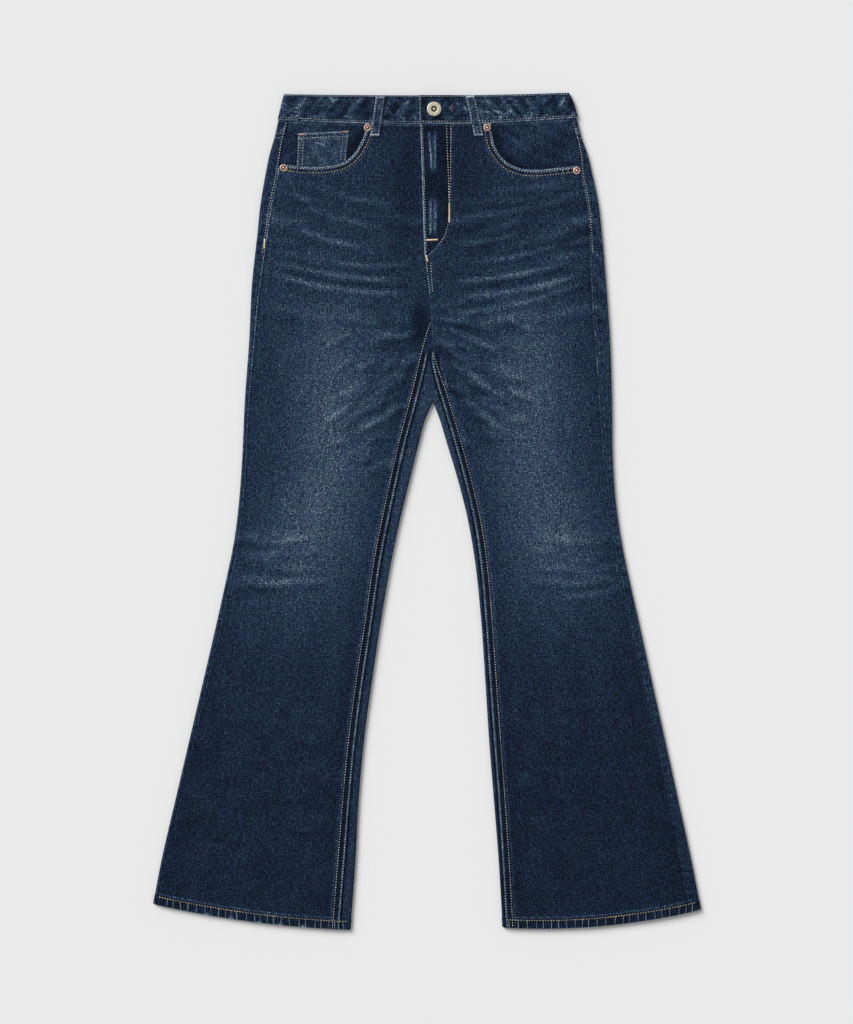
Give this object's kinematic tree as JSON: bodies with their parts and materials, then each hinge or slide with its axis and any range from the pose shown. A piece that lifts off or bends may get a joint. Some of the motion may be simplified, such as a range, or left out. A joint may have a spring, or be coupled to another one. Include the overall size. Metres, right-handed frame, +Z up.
{
  "type": "bootcut jeans",
  "caption": "Slim bootcut denim jeans laid flat, front up: waistband, lapped fly, curved pocket openings with a coin pocket, belt loops, flared hems.",
  "frame": {"origin": "on the surface the jeans lie on, under the middle of their overall box", "axes": "+Y toward the waist, +X toward the wearer's left leg, +Z up out of the front"},
  "size_m": [0.7136, 1.089, 0.0117],
  "materials": {
    "indigo_denim": "matte twill",
    "dark_indigo_denim": "matte twill",
    "pewter": "satin",
    "copper": "satin"
  },
  "bodies": {
    "root": {"right_front_panel": "indigo_denim", "left_front_panel": "indigo_denim", "right_back_panel": "indigo_denim", "left_back_panel": "indigo_denim", "right_yoke": "indigo_denim", "left_yoke": "indigo_denim", "waistband": "dark_indigo_denim", "right_pocket_facing": "dark_indigo_denim", "left_pocket_facing": "dark_indigo_denim", "coin_pocket": "indigo_denim", "right_front_belt_loop": "dark_indigo_denim", "left_front_belt_loop": "dark_indigo_denim", "waist_button": "pewter", "right_inner_rivet": "copper", "right_outer_rivet": "copper", "left_inner_rivet": "copper", "left_outer_rivet": "copper"}
  },
  "joints": []
}
